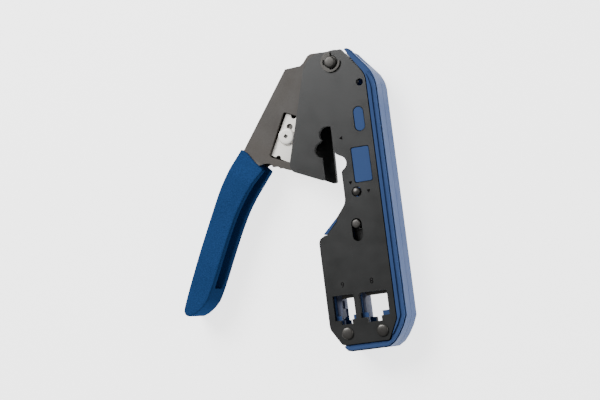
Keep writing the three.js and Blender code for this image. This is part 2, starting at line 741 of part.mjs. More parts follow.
// A die is a block with a row of punches along its foot.
function die(x0, x1, count) {
  let made = box(x0, x1, -105.0, -100.5, -RAM_Z, 1.7);
  const pitch = 1.02;
  const middle = (x0 + x1) / 2;
  for (let i = 0; i < count; i++) {
    const x = middle + (i - (count - 1) / 2) * pitch;
    made = made.add(box(x - 0.28, x + 0.28, -106.6, -104.5, -0.6, 0.8));
  }
  made = made.add(box(middle - 2.4, middle + 2.4, -106.4, -104.5, -3.2, -2.2));
  return made;
}
add("die_6p", die(-10.5, -3.6, 6), darkMetal);
add("die_8p", die(0.9, 11.6, 8), darkMetal);

let trim = box(-13.6, 12.4, -102.6, -95.7, 2.3, 3.0);
trim = trim.add(box(-10.5, -3.8, -106.9, -102.0, 2.3, 3.0));
trim = trim.add(box(0.9, 11.4, -106.9, -102.0, 2.3, 3.0));
for (const x of TRIM_SCREWS) trim = trim.subtract(disc(x, -97.7, 1.7 + GAP, 0, 5, 20));
add("trim_blade", trim, bladeSteel);
TRIM_SCREWS.forEach((x, i) => {
  const profile = [
    [0, 0.3],
    [1.1, 0.3],
    [1.1, 2.3],
    [1.7, 2.3],
    [1.7, 3.2],
    [0, 3.4],
  ];
  add(`trim_screw_${i + 1}`, turned(x, -97.7, profile, 18), brightSteel);
});

// ---- return spring on its post, inside the push bar's pocket ----
const coil = new THREE.Curve();
coil.getPoint = (t, target = new THREE.Vector3()) => {
  const a = t * SPRING.turns * Math.PI * 2;
  const y = SPRING.bottom + 0.5 + (SPRING.top - SPRING.bottom - 1.0) * t;
  return target.set(SPRING.x + SPRING.r * Math.cos(a), y, SPRING.r * Math.sin(a));
};
const wire = new THREE.Shape();
wire.absarc(0, 0, SPRING.wire, 0, Math.PI * 2);
const spring = new THREE.ExtrudeGeometry(wire, {
  steps: SPRING.turns * 12,
  extrudePath: coil,
  curveSegments: 2,
});
add("return_spring", solid(spring), brightSteel);
add("spring_post", disc(POST.x, POST.y, POST.r, -LINER_OUT + 0.1, LINER_OUT - 0.1, 20), brightSteel);

// ---- lock pin ----
const lock = turned(
  LOCK.x,
  LOCK.y,
  [
    [0, -7.5],
    [1.5, -7.5],
    [LOCK.r, -7.2],
    [LOCK.r, 9.1],
    [1.6, 9.6],
    [0.9, 9.9],
    [0, 10.0],
  ],
  24,
);
add("lock_pin", lock, brightSteel);

// ---- lay the tool on its back with the origin under the middle of its bounding box ----
const bounds = new THREE.Box3().setFromObject(tool);
const middle = bounds.getCenter(new THREE.Vector3());
tool.position.set(-middle.x, -middle.y, -bounds.min.z);

const group = new THREE.Group();
group.name = "crimping_tool";
group.add(tool);

export default group;
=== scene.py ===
"""Crimping tool for modular plugs: the visible finish of a packed assembly.

Laid out as a Blender add-on and run as a script. Each group of like pieces has an operator of its
own, the sizes and colours that can be changed are properties, and a panel in the sidebar lists the
operators in the order in which they are run.
"""

import math

import bpy
import bmesh
from bpy.props import FloatProperty, FloatVectorProperty, IntProperty, PointerProperty
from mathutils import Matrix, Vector


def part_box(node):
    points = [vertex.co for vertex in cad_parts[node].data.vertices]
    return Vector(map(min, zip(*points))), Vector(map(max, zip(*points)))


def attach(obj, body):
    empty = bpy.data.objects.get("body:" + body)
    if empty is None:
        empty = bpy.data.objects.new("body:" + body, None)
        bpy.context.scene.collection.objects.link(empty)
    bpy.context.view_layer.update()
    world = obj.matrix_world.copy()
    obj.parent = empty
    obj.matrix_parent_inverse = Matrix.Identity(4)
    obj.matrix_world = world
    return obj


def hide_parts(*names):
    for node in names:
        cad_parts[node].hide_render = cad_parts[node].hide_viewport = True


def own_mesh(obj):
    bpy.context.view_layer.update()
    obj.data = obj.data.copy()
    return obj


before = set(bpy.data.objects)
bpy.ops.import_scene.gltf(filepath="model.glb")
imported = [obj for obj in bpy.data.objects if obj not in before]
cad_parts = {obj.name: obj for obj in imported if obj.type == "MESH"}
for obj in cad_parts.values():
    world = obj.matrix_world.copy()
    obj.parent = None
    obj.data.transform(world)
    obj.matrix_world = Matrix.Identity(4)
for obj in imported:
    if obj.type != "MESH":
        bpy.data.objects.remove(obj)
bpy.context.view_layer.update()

bl_info = {
    "name": "Crimping Tool",
    "version": (1, 0, 0),
    "blender": (4, 5, 0),
    "location": "3D View > Sidebar > Crimping Tool",
    "description": "Builds the finished pieces, materials and studio of a plug crimping tool",
    "category": "Object",
}

MM = 0.001
SHARP = math.radians(50.0)  # edges that turn more than this stay crisp
FLAT = math.radians(0.6)  # faces that turn less than this are one flat face
MERGE_DISTANCE = 0.004 * MM  # corners nearer than this are one corner
LEAST_RISE = 0.002 * MM  # the least rise of one ring of a turned piece
SAME_HEIGHT = 0.001 * MM  # heights nearer than this are one height
LOOKS_UP = 0.9  # a face looks up if its normal's z is more than this

# Two points on the lever's back, from the main pivot, in millimetres.
LEVER_BACK = ((-23.0, 1.0), (-48.0, -33.1))
# How far below the main pivot the plug nest's walls turn blue, in millimetres.
LINING_DROP = 114.9
# Each numeral and its place from the main pivot, in millimetres.
NUMERALS = (("6", -7.8, -100.7), ("8", 6.0, -100.5))
# Each arrow's name, its place from the main pivot in millimetres, and its turn in degrees.
ARROWS = (
    ("arrow_cut", 0.4, -35.0, 90.0),
    ("arrow_strip", 2.1, -55.6, 60.0),
    ("arrow_lock", 10.0, -60.4, -60.0),
)
# Each light's name, its place in metres, and its power in watts.
SOFTBOXES = (
    ("softbox_top", (-0.30, 0.52, 0.75), 13.0),
    ("softbox_right", (0.85, 0.10, 0.35), 2.0),
)


# ---------------------------------------------------------------- sizes and colours


class CrimpSizes(bpy.types.PropertyGroup):
    """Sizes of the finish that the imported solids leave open."""

    plate_edge: FloatProperty(
        name="Plate edge", description="Rounding of the stamped plates' edges",
        default=0.22 * MM, unit="LENGTH", subtype="DISTANCE",
    )
    grip_edge: FloatProperty(
        name="Grip edge", description="Rounding of the moulded grip's edges",
        default=0.20 * MM, unit="LENGTH", subtype="DISTANCE",
    )
    crest_edge: FloatProperty(
        name="Crest edge", description="Rounding of the grip's raised crest and its groove",
        default=0.45 * MM, unit="LENGTH", subtype="DISTANCE",
    )
    lever_edge: FloatProperty(
        name="Lever edge", description="Rounding of the folded lever's edges",
        default=0.25 * MM, unit="LENGTH", subtype="DISTANCE",
    )
    fold_radius: FloatProperty(
        name="Fold radius", description="Rounding of the lever's two folds, along its back",
        default=0.60 * MM, unit="LENGTH", subtype="DISTANCE",
    )
    small_edge: FloatProperty(
        name="Small edge", description="Rounding of the spring clip; pins and dies have less",
        default=0.12 * MM, unit="LENGTH", subtype="DISTANCE",
    )
    numeral_size: FloatProperty(
        name="Numeral size", description="Height of the type that the numerals are set in",
        default=3.6 * MM, unit="LENGTH", subtype="DISTANCE",
    )
    vinyl_voxel: FloatProperty(
        name="Vinyl voxel", description="Cell size of the dipped handle's surface",
        default=0.42 * MM, unit="LENGTH", subtype="DISTANCE",
    )
    vinyl_softening: IntProperty(
        name="Vinyl softening", description="Smoothing passes over the dipped handle",
        default=7, min=0, max=30,
    )


class CrimpColours(bpy.types.PropertyGroup):
    """Base colours of the finishes."""

    black_steel: FloatVectorProperty(
        name="Black steel", description="Side plates", subtype="COLOR", size=4,
        default=(0.009, 0.0095, 0.0095, 1.0), min=0.0, max=1.0,
    )
    lever_steel: FloatVectorProperty(
        name="Lever steel", description="Folded lever", subtype="COLOR", size=4,
        default=(0.036, 0.030, 0.025, 1.0), min=0.0, max=1.0,
    )
    grip_blue: FloatVectorProperty(
        name="Grip blue", description="Moulded grip with its pads", subtype="COLOR", size=4,
        default=(0.036, 0.067, 0.165, 1.0), min=0.0, max=1.0,
    )
    vinyl_blue: FloatVectorProperty(
        name="Vinyl blue", description="Dipped handle and the nest's lower walls",
        subtype="COLOR", size=4,
        default=(0.013, 0.042, 0.125, 1.0), min=0.0, max=1.0,
    )
    bright_steel: FloatVectorProperty(
        name="Bright steel", description="Return spring and the solids left as packed",
        subtype="COLOR", size=4,
        default=(0.88, 0.84, 0.78, 1.0), min=0.0, max=1.0,
    )
    dark_pin: FloatVectorProperty(
        name="Dark pins", description="Pins, rivets, spring clip, dies and blade holder",
        subtype="COLOR", size=4, default=(0.075, 0.072, 0.068, 1.0), min=0.0, max=1.0,
    )
    mark: FloatVectorProperty(
        name="Marks", description="Stamped numerals and arrows", subtype="COLOR", size=4,
        default=(0.001, 0.001, 0.001, 1.0), min=0.0, max=1.0,
    )
    blade_steel: FloatVectorProperty(
        name="Blade steel", description="Cutting blade and its screw", subtype="COLOR", size=4,
        default=(0.97, 0.94, 0.88, 1.0), min=0.0, max=1.0,
    )
    nest_steel: FloatVectorProperty(
        name="Nest steel", description="Seat that holds the plugs", subtype="COLOR", size=4,
        default=(0.16, 0.18, 0.26, 1.0), min=0.0, max=1.0,
    )
    grey_steel: FloatVectorProperty(
        name="Grey steel", description="Cam", subtype="COLOR", size=4,
        default=(0.22, 0.22, 0.23, 1.0), min=0.0, max=1.0,
    )


class CrimpStage(bpy.types.PropertyGroup):
    """Camera, floor and lights."""

    camera_at: FloatVectorProperty(
        name="Camera place", description="Where the camera stands", subtype="TRANSLATION",
        unit="LENGTH", size=3, default=(0.27125, -0.07138, 0.79810),
    )
    camera_turn: FloatVectorProperty(
        name="Camera turn", description="How the camera is turned", subtype="EULER",
        unit="ROTATION", size=3,
        default=(math.radians(2.67984), math.radians(19.00046), math.radians(-7.60000)),
    )
    lens: FloatProperty(
        name="Lens", description="Focal length, in millimetres for a 36 mm wide sensor",
        default=108.96,
    )
    softbox_size: FloatProperty(
        name="Softbox size", description="Side of each square light",
        default=0.5, unit="LENGTH", subtype="DISTANCE",
    )
    floor_size: FloatProperty(
        name="Floor size", description="Side of the square floor",
        default=6.0, unit="LENGTH", subtype="DISTANCE",
    )
    floor_gap: FloatProperty(
        name="Floor gap", description="How far the floor lies below the tool",
        default=0.6 * MM, unit="LENGTH", subtype="DISTANCE",
    )
    floor_colour: FloatVectorProperty(
        name="Floor", description="Pale studio floor", subtype="COLOR", size=4,
        default=(0.9, 0.9, 0.9, 1.0), min=0.0, max=1.0,
    )
    floor_glow: FloatProperty(
        name="Floor glow", description="Light that the floor gives off", default=2.4,
    )
    ambient: FloatProperty(
        name="Ambient light", description="Strength of the even light all round", default=0.36,
    )


def sizes():
    return bpy.context.scene.crimp_sizes


def colours():
    return bpy.context.scene.crimp_colours


# ---------------------------------------------------------------- mesh helpers


def choose(obj):
    """Makes obj the only selected object, and the active one."""
    bpy.ops.object.select_all(action="DESELECT")
    obj.hide_set(False)
    obj.select_set(True)
    bpy.context.view_layer.objects.active = obj


def apply_modifier(obj, kind, **settings):
    """Adds a modifier with its settings, and applies it."""
    choose(obj)
    bpy.ops.object.modifier_add(type=kind)
    modifier = obj.modifiers[-1]
    for name, value in settings.items():
        setattr(modifier, name, value)
    bpy.ops.object.modifier_apply(modifier=modifier.name)


def copy_of(node, name, joined=True):
    """A new piece with a CAD node's shape, its corners merged and, if joined, its flats too."""
    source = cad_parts[node]
    piece = bpy.data.objects.new(name, source.data.copy())
    piece.data.materials.clear()
    bpy.context.scene.collection.objects.link(piece)
    choose(piece)
    bpy.ops.object.mode_set(mode="EDIT")
    bpy.ops.mesh.select_all(action="SELECT")
    bpy.ops.mesh.remove_doubles(threshold=MERGE_DISTANCE)
    if joined:
        bpy.ops.mesh.dissolve_limited(angle_limit=FLAT)
    bpy.ops.object.mode_set(mode="OBJECT")
    return piece


def round_edges(piece, width, segments=2, angle=30.0):
    """Rounds the edges that are sharper than angle, and shades the rest smooth."""
    apply_modifier(
        piece, "BEVEL", width=width, segments=segments, limit_method="ANGLE",
        angle_limit=math.radians(angle), use_clamp_overlap=True, miter_outer="MITER_ARC",
        harden_normals=False,
    )
    choose(piece)
    bpy.ops.object.shade_smooth_by_angle(angle=SHARP)
    apply_modifier(piece, "WEIGHTED_NORMAL", keep_sharp=True, weight=100, mode="FACE_AREA")


def select_faces(piece, wanted):
    """In edit mode, selects the faces for which wanted(centre, normal) is true, and no others."""
    mesh = bmesh.from_edit_mesh(piece.data)
    for element in (*mesh.verts, *mesh.edges, *mesh.faces):
        element.select = False
    for face in mesh.faces:
        if wanted(face.calc_center_median(), face.normal):
            face.select_set(True)
    bmesh.update_edit_mesh(piece.data)


def bevel_edges(piece, wanted, width, segments):
    """Rounds the edges for which wanted(start, end, angle between their faces) is true."""
    choose(piece)
    bpy.ops.object.mode_set(mode="EDIT")
    bpy.ops.mesh.select_mode(type="EDGE")
    mesh = bmesh.from_edit_mesh(piece.data)
    for element in (*mesh.verts, *mesh.edges, *mesh.faces):
        element.select = False
    for edge in mesh.edges:
        start, end = (vert.co for vert in edge.verts)
        if len(edge.link_faces) == 2 and wanted(start, end, edge.calc_face_angle(0.0)):
            edge.select_set(True)
    bmesh.update_edit_mesh(piece.data)
    bpy.ops.mesh.bevel(offset=width, segments=segments, affect="EDGES", clamp_overlap=True)
    bpy.ops.mesh.select_mode(type="VERT")
    bpy.ops.object.mode_set(mode="OBJECT")


def turned(name, x, y, profile, vertices=48):
    """A turned piece about an upright axis: a cylinder whose top is drawn up step by step.

    The profile holds (radius, height) from the low end up.
    """
    (first_r, low), (next_r, high) = profile[:2]
    bpy.ops.object.select_all(action="DESELECT")
    bpy.ops.mesh.primitive_cylinder_add(
        vertices=vertices, radius=first_r, depth=high - low, location=(x, y, (low + high) / 2)
    )
    piece = bpy.context.object
    piece.name = name
    bpy.ops.object.transform_apply(location=True, rotation=True, scale=True)
    bpy.ops.object.mode_set(mode="EDIT")
    bpy.ops.mesh.select_mode(type="FACE")
    top = high
    grow(piece, x, y, top, next_r / first_r)
    for radius, height in profile[2:]:
        select_top(piece, top)
        bpy.ops.mesh.extrude_region_move(
            TRANSFORM_OT_translate={"value": (0, 0, max(height - top, LEAST_RISE))}
        )
        top = max(height, top + LEAST_RISE)
        grow(piece, x, y, top, radius / next_r)
        next_r = radius
    bpy.ops.mesh.select_mode(type="VERT")
    bpy.ops.object.mode_set(mode="OBJECT")
    return piece


def select_top(piece, top):
    """In edit mode, selects the face at height top that looks up."""
    select_faces(piece, lambda c, n: n.z > LOOKS_UP and abs(c.z - top) < SAME_HEIGHT)


def grow(piece, x, y, top, factor):
    """Widens or narrows the top face of a turned piece."""
    select_top(piece, top)
    bpy.ops.transform.resize(value=(factor, factor, 1.0), center_override=(x, y, top))


def from_pivot(x, y):
    """The point that lies x, y millimetres from the main pivot, seen from the front."""
    pivot_x, pivot_y = middle("pivot_pin")[:2]
    return Vector((pivot_x + x * MM, pivot_y + y * MM))


def middle(node):
    """The middle of a node's box, seen from the front, and its lowest and highest z."""
    low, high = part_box(node)
    return (low[0] + high[0]) / 2, (low[1] + high[1]) / 2, low[2], high[2]


def second_finish(piece, finish, wanted):
    """Gives another finish to the faces for which wanted(centre, normal) is true."""
    piece.data.materials.append(material(finish))
    for face in piece.data.polygons:
        face.material_index = int(wanted(face.center, face.normal))


def finish_piece(piece, body, finish, slot, *replaced):
    """Gives a piece its finish, its body and the CAD nodes it stands for."""
    piece.data.materials.clear()
    piece.data.materials.append(material(finish))
    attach(piece, body)
    if replaced:
        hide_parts(*replaced)
    return piece


# ---------------------------------------------------------------- materials


def new_group(name, inputs, outputs):
    """An empty shader node group with named sockets, and its input and output nodes."""
    group = bpy.data.node_groups.new(name, "ShaderNodeTree")
    for label, kind, value in inputs:
        socket = group.interface.new_socket(name=label, in_out="INPUT", socket_type=kind)
        socket.default_value = value
    for label, kind in outputs:
        group.interface.new_socket(name=label, in_out="OUTPUT", socket_type=kind)
    return group, group.nodes.new("NodeGroupInput"), group.nodes.new("NodeGroupOutput")


def noise_in(group, scale, detail, stretch=(1.0, 1.0, 1.0)):
    """A noise texture in object coordinates; scale is a number or the socket that gives it."""
    place = group.nodes.new("ShaderNodeTexCoord")
    mapping = group.nodes.new("ShaderNodeMapping")
    mapping.inputs["Scale"].default_value = stretch
    noise = group.nodes.new("ShaderNodeTexNoise")
    noise.inputs["Detail"].default_value = detail
    group.links.new(place.outputs["Object"], mapping.inputs["Vector"])
    group.links.new(mapping.outputs["Vector"], noise.inputs["Vector"])
    group.links.new(scale, noise.inputs["Scale"])
    return noise


def mottle_group():
    """Mixes two tones by soft patches with a fine grain on top."""
    if "Mottled Tone" in bpy.data.node_groups:
        return bpy.data.node_groups["Mottled Tone"]
    group, given, made = new_group(
        "Mottled Tone",
        (
            ("Dark", "NodeSocketColor", (0.02, 0.02, 0.02, 1.0)),
            ("Light", "NodeSocketColor", (0.05, 0.05, 0.05, 1.0)),
            ("Patch Scale", "NodeSocketFloat", 60.0),
            ("Grain Scale", "NodeSocketFloat", 2000.0),
            ("Grain Share", "NodeSocketFloat", 0.35),
        ),
        (("Color", "NodeSocketColor"),),
    )
    patch = noise_in(group, given.outputs["Patch Scale"], 2.0)
    grain = noise_in(group, given.outputs["Grain Scale"], 2.0)
    both = group.nodes.new("ShaderNodeMix")
    both.data_type = "FLOAT"
    group.links.new(given.outputs["Grain Share"], both.inputs["Factor"])
    group.links.new(patch.outputs["Fac"], both.inputs["A"])
    group.links.new(grain.outputs["Fac"], both.inputs["B"])
    spread = group.nodes.new("ShaderNodeMapRange")
    spread.inputs["From Min"].default_value = 0.32
    spread.inputs["From Max"].default_value = 0.68
    group.links.new(both.outputs["Result"], spread.inputs["Value"])
    tone = group.nodes.new("ShaderNodeMix")
    tone.data_type = "RGBA"
    group.links.new(spread.outputs["Result"], tone.inputs["Factor"])
    group.links.new(given.outputs["Dark"], tone.inputs["A"])
    group.links.new(given.outputs["Light"], tone.inputs["B"])
    group.links.new(tone.outputs["Result"], made.inputs["Color"])
    return group


def patches_group():
    """A value that wanders between two limits, for roughness."""
    if "Patchy Value" in bpy.data.node_groups:
        return bpy.data.node_groups["Patchy Value"]
    group, given, made = new_group(
        "Patchy Value",
        (
            ("Low", "NodeSocketFloat", 0.3),
            ("High", "NodeSocketFloat", 0.5),
            ("Scale", "NodeSocketFloat", 120.0),
        ),
        (("Value", "NodeSocketFloat"),),
    )
    patch = noise_in(group, given.outputs["Scale"], 3.0)
    spread = group.nodes.new("ShaderNodeMapRange")
    spread.inputs["From Min"].default_value = 0.3
    spread.inputs["From Max"].default_value = 0.7
    group.links.new(patch.outputs["Fac"], spread.inputs["Value"])
    group.links.new(given.outputs["Low"], spread.inputs["To Min"])
    group.links.new(given.outputs["High"], spread.inputs["To Max"])
    group.links.new(spread.outputs["Result"], made.inputs["Value"])
    return group


def pebble_group():
    """Heights of a fine pebbled or orange-peel surface."""
    if "Pebbled Height" in bpy.data.node_groups:
        return bpy.data.node_groups["Pebbled Height"]
    group, given, made = new_group(
        "Pebbled Height",
        (("Scale", "NodeSocketFloat", 1500.0),),
        (("Height", "NodeSocketFloat"),),
    )
    noise = noise_in(group, given.outputs["Scale"], 3.0)
    group.links.new(noise.outputs["Fac"], made.inputs["Height"])
    return group


def brushed_group():
    """Heights of fine lines that run along Y."""
    if "Brushed Height" in bpy.data.node_groups:
        return bpy.data.node_groups["Brushed Height"]
    group, given, made = new_group(
        "Brushed Height",
        (("Scale", "NodeSocketFloat", 2500.0),),
        (("Height", "NodeSocketFloat"),),
    )
    noise = noise_in(group, given.outputs["Scale"], 2.0, (1.0, 0.02, 1.0))
    group.links.new(noise.outputs["Fac"], made.inputs["Height"])
    return group


def painted_shade_mask_group():
    """A mask of the faces that look along +X, away from the handle's back, where shade is painted.
    """
    if "Painted Shade Mask" in bpy.data.node_groups:
        return bpy.data.node_groups["Painted Shade Mask"]
    group, given, made = new_group(
        "Painted Shade Mask", (("Start", "NodeSocketFloat", 0.2),), (("Mask", "NodeSocketFloat"),)
    )
    place = group.nodes.new("ShaderNodeTexCoord")
    split = group.nodes.new("ShaderNodeSeparateXYZ")
    spread = group.nodes.new("ShaderNodeMapRange")
    group.links.new(place.outputs["Normal"], split.inputs["Vector"])
    group.links.new(split.outputs["X"], spread.inputs["Value"])
    group.links.new(given.outputs["Start"], spread.inputs["From Min"])
    group.links.new(spread.outputs["Result"], made.inputs["Mask"])
    return group


def tint(colour, factor):
    """A colour made lighter or darker, as strong as before."""
    return (*(min(channel * factor, 1.0) for channel in colour[:3]), 1.0)


def surface(
    name, colour, spread, rough, metallic, height, scale, depth, gleam=0.5, grain=0.35
):
    """A finish: a mottled tone, patchy roughness and a fine relief.

    spread is how far the tone wanders, rough holds the two limits of the roughness, height is
    the relief's node group, scale its size and depth its height in metres, and gleam is the
    strength of a painted or plastic surface's reflection. grain is the fine grain's share of the
    tone's wandering.
    """
    made = bpy.data.materials.new(name)
    made.use_nodes = True
    nodes, links = made.node_tree.nodes, made.node_tree.links
    shader = nodes["Principled BSDF"]
    shader.inputs["Metallic"].default_value = metallic
    tone = nodes.new("ShaderNodeGroup")
    tone.node_tree = mottle_group()
    tone.inputs["Dark"].default_value = tint(colour, 1.0 - spread)
    tone.inputs["Light"].default_value = tint(colour, 1.0 + spread)
    tone.inputs["Grain Share"].default_value = grain
    shader.inputs["Specular IOR Level"].default_value = gleam
    links.new(tone.outputs["Color"], shader.inputs["Base Color"])
    gloss = nodes.new("ShaderNodeGroup")
    gloss.node_tree = patches_group()
    gloss.inputs["Low"].default_value = rough[0]
    gloss.inputs["High"].default_value = rough[1]
    links.new(gloss.outputs["Value"], shader.inputs["Roughness"])
    relief = nodes.new("ShaderNodeGroup")
    relief.node_tree = height()
    relief.inputs["Scale"].default_value = scale
    bump = nodes.new("ShaderNodeBump")
    bump.inputs["Distance"].default_value = depth
    links.new(relief.outputs["Height"], bump.inputs["Height"])
    links.new(bump.outputs["Normal"], shader.inputs["Normal"])
    return made


def material(name):
    """The finish of that name, made the first time it is asked for."""
    if name in bpy.data.materials:
        return bpy.data.materials[name]
    look = colours()
    pebbled, brushed = pebble_group, brushed_group
    recipes = {
        "black steel": dict(
            colour=look.black_steel, spread=0.10, rough=(0.30, 0.38), metallic=0.0,
            height=pebbled, scale=2200.0, depth=0.004 * MM, gleam=0.42,
        ),
        # painted shade: the black steel at 70 per cent with little reflection, for walls and bands
        # turned away from the light
        "painted edge shade": dict(
            colour=tint(look.black_steel, 0.7), spread=0.20, rough=(0.50, 0.62), metallic=0.0,
            height=pebbled, scale=2200.0, depth=0.004 * MM, gleam=0.08,
        ),
        "lever steel": dict(
            colour=look.lever_steel, spread=0.28, rough=(0.45, 0.60), metallic=0.0,
            height=pebbled, scale=1800.0, depth=0.020 * MM, gleam=0.45,
        ),
        "grip blue": dict(
            colour=look.grip_blue, spread=0.06, rough=(0.34, 0.42), metallic=0.0,
            height=pebbled, scale=1600.0, depth=0.003 * MM, gleam=0.02,
        ),
        "vinyl blue": dict(
            colour=look.vinyl_blue, spread=0.26, rough=(0.50, 0.62), metallic=0.0,
            height=pebbled, scale=1500.0, depth=0.040 * MM, gleam=0.0, grain=0.8,
        ),
        "bright steel": dict(
            colour=look.bright_steel, spread=0.05, rough=(0.22, 0.34), metallic=1.0,
            height=brushed, scale=2500.0, depth=0.002 * MM,
        ),
        "blade steel": dict(
            colour=look.blade_steel, spread=0.03, rough=(0.30, 0.40), metallic=0.05,
            height=brushed, scale=2500.0, depth=0.001 * MM,
        ),
        "grey steel": dict(
            colour=look.grey_steel, spread=0.12, rough=(0.28, 0.42), metallic=1.0,
            height=brushed, scale=2500.0, depth=0.003 * MM,
        ),
        "nest steel": dict(
            colour=look.nest_steel, spread=0.10, rough=(0.55, 0.70), metallic=0.0,
            height=brushed, scale=2500.0, depth=0.003 * MM, gleam=0.10,
        ),
        "dark pin": dict(
            colour=look.dark_pin, spread=0.15, rough=(0.25, 0.40), metallic=0.9,
            height=pebbled, scale=2500.0, depth=0.003 * MM,
        ),
        "clip steel": dict(
            colour=tint(look.dark_pin, 0.62), spread=0.15, rough=(0.30, 0.42), metallic=0.9,
            height=pebbled, scale=2500.0, depth=0.003 * MM,
        ),
        "mark": dict(
            colour=look.mark, spread=0.10, rough=(0.80, 0.90), metallic=0.0,
            height=pebbled, scale=2200.0, depth=0.002 * MM, gleam=0.05,
        ),
    }
    made = surface(name, **recipes[name])
    # the dipped vinyl gets painted shade on the faces that look along +X
    if name == "vinyl blue":
        paint_shade_on_open_side(made)
    return made


def paint_shade_on_open_side(made):
    """Paints shade on the dipped handle's open side: faces that look along +X get a darker base
    colour.
    """
    nodes, links = made.node_tree.nodes, made.node_tree.links
    shader = nodes["Principled BSDF"]
    tone = shader.inputs["Base Color"].links[0].from_socket
    mask = nodes.new("ShaderNodeGroup")
    mask.node_tree = painted_shade_mask_group()
    painted_shade = nodes.new("ShaderNodeMix")
    painted_shade.data_type = "RGBA"
    # painted shade: the vinyl blue at 40 per cent, mixed in by the +X mask
    painted_shade.inputs["B"].default_value = tint(colours().vinyl_blue, 0.40)
    links.new(mask.outputs["Mask"], painted_shade.inputs["Factor"])
    links.new(tone, painted_shade.inputs["A"])
    links.new(painted_shade.outputs["Result"], shader.inputs["Base Color"])


# ---------------------------------------------------------------- pieces


class CRIMP_OT_side_plates(bpy.types.Operator):
    """Round the edges of both stamped side plates and paint them black"""

    bl_idname = "crimp.side_plates"
    bl_label = "Side Plates"

    def execute(self, context):
        wall = 0.6  # the stamped walls' normals have less z than this
        for node, name in (("front_plate", "plate_front"), ("rear_plate", "plate_rear")):
            piece = copy_of(node, name)
            round_edges(piece, sizes().plate_edge)
            finish_piece(piece, "body", "black steel", "black_steel", node)
            # the sideways walls get painted shade, drawn as dark outlines along the plates' edges
            second_finish(piece, "painted edge shade", lambda c, n: abs(n.z) < wall)
        return {"FINISHED"}


class CRIMP_OT_grip(bpy.types.Operator):
    """Round the edges of the two moulded grip halves"""

    bl_idname = "crimp.grip"
    bl_label = "Grip Halves"

    def execute(self, context):
        near = 0.02 * MM
        low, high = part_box("grip_front")[1][2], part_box("grip_rear")[0][2]
        for node, name in (("grip_front", "grip_half_front"), ("grip_rear", "grip_half_rear")):
            piece = copy_of(node, name, joined=False)
            crest = low if node == "grip_front" else high

            def along_crest(start, end, turn):
                level = max(abs(start.z - crest), abs(end.z - crest)) < near
                return level and turn > SHARP

            bevel_edges(piece, along_crest, sizes().crest_edge, 5)
            round_edges(piece, sizes().grip_edge)
            finish_piece(piece, "body", "grip blue", "blue_plastic", node)
        return {"FINISHED"}


class CRIMP_OT_handle(bpy.types.Operator):
    """Soften the dipped vinyl handle"""

    bl_idname = "crimp.handle"
    bl_label = "Dipped Handle"

    def execute(self, context):
        piece = copy_of("handle_sleeve", "handle_vinyl")
        apply_modifier(piece, "REMESH", mode="VOXEL", voxel_size=sizes().vinyl_voxel)
        apply_modifier(piece, "SMOOTH", factor=0.5, iterations=sizes().vinyl_softening)
        choose(piece)
        bpy.ops.object.shade_smooth()
        finish_piece(piece, "lever_arm", "vinyl blue", "blue_vinyl", "handle_sleeve")
        return {"FINISHED"}


class CRIMP_OT_lever(bpy.types.Operator):
    """Round the edges of the folded lever"""

    bl_idname = "crimp.lever"
    bl_label = "Lever"

    def execute(self, context):
        piece = copy_of("lever", "lever_channel", joined=False)
        start, further = (from_pivot(*point) for point in LEVER_BACK)
        along = (further - start).normalized()
        low, high = (corner[2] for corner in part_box("lever"))
        beside, under = 0.2 * MM, 0.1 * MM

        def on_fold(first, second, turn):
            """Whether an edge runs along the channel's back, on the outside of either wing."""
            for end in (first, second):
                off = (end.xy - start).cross(along)
                if abs(off) > beside or min(end.z - low, high - end.z) > under:
                    return False
            return turn > SHARP

        bevel_edges(piece, on_fold, sizes().fold_radius, 5)
        round_edges(piece, sizes().lever_edge)
        finish_piece(piece, "lever_arm", "lever steel", "lever_steel", "lever")
        # the rounded bands along the lever's edges and folds get painted shade
        upright, flat = 0.1, 0.97  # the rounded bands' normals have z between these
        second_finish(piece, "painted edge shade", lambda c, n: upright < abs(n.z) < flat)
        return {"FINISHED"}


class CRIMP_OT_pins(bpy.types.Operator):
    """Turn the pivot pin, the rivets and the guide pin"""

    bl_idname = "crimp.pins"
    bl_label = "Pins and Rivets"

    def execute(self, context):
        small = sizes().small_edge
        x, y, low, high = middle("pivot_pin")
        head, shank, groove, tip = 4.6 * MM, 2.95 * MM, 2.3 * MM, 2.75 * MM
        profile = (
            (head - 0.5 * MM, low), (head, low + 0.4 * MM), (head, low + 0.8 * MM),
            (shank, low + 0.81 * MM), (shank, high - 2.0 * MM),
            (groove, high - 1.99 * MM), (groove, high - 0.7 * MM),
            (tip, high - 0.69 * MM), (tip, high - 0.45 * MM),
            (tip - 0.6 * MM, high - 0.05 * MM), (0.5 * MM, high - 0.02 * MM),
        )
        piece = turned("pivot_bolt", x, y, profile)
        round_edges(piece, small / 2)
        finish_piece(piece, "body", "clip steel", "bright_steel", "pivot_pin")

        for node, name in (("rivet_left", "rivet_head_left"), ("rivet_right", "rivet_head_right")):
            x, y, low, high = middle(node)
            head, shank = 2.7 * MM, 1.7 * MM
            profile = (
                (head - 0.4 * MM, low), (head, low + 0.3 * MM), (head, low + 0.7 * MM),
                (shank, low + 0.71 * MM), (shank, high - 0.92 * MM),
                (head, high - 0.90 * MM), (head, high - 0.55 * MM),
                (head - 0.4 * MM, high - 0.30 * MM), (head - 0.7 * MM, high - 0.24 * MM),
                (1.0 * MM, high - 0.16 * MM), (0.4 * MM, high - 0.15 * MM),
            )
            piece = turned(name, x, y, profile)
            round_edges(piece, small / 3)
            finish_piece(piece, "body", "dark pin", "black_steel", node)

        x, y, low, high = middle("guide_pin")
        radius = (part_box("guide_pin")[1][0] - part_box("guide_pin")[0][0]) / 2
        profile = (
            (radius * 0.85, low), (radius, low + 0.3 * MM), (radius, high - 0.25 * MM),
            (radius * 0.86, high - 0.03 * MM), (radius * 0.3, high),
        )
        piece = turned("guide_stud", x, y, profile)
        round_edges(piece, small / 2)
        finish_piece(piece, "ram", "dark pin", "bright_steel", "guide_pin")
        return {"FINISHED"}


